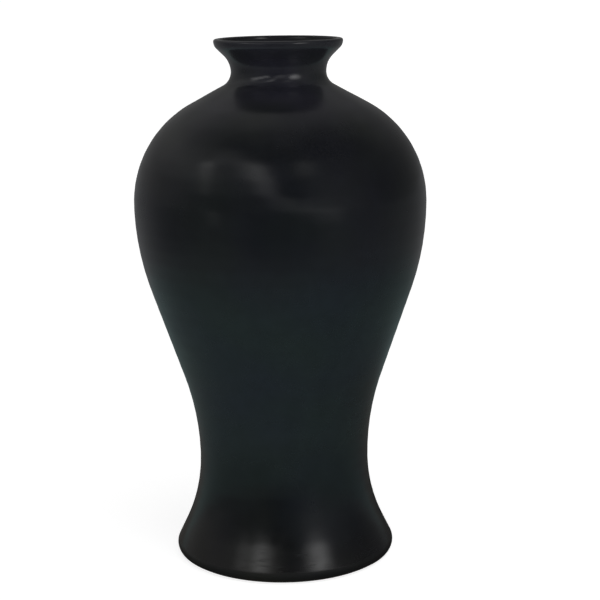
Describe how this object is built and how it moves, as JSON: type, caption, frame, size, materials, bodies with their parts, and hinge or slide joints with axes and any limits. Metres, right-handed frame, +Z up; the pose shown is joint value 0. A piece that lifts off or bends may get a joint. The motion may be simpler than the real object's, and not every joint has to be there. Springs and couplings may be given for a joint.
{
  "type": "meiping vase",
  "caption": "Tall black-glazed meiping vase with flared lip, short neck, broad shoulder, drawn-in waist and spreading foot, hollow for water and flower stems.",
  "frame": {"origin": "centre of the plane that the foot ring rests on", "axes": "+Z up along the vase's axis of revolution, X and Y level"},
  "size_m": [0.2226, 0.2226, 0.4],
  "materials": {
    "clay": "bare fired stoneware, dark iron brown",
    "slip": "fired slip, a little lighter than the clay",
    "black_glaze": "satin black glaze"
  },
  "bodies": {
    "root": {"foot_section": "clay", "body_section": "clay", "shoulder_section": "clay", "neck_section": "clay", "waist_slip": "slip", "belly_slip": "slip", "neck_slip": "slip", "outer_glaze": "black_glaze", "inner_glaze": "black_glaze", "base_glaze": "black_glaze"}
  },
  "joints": []
}
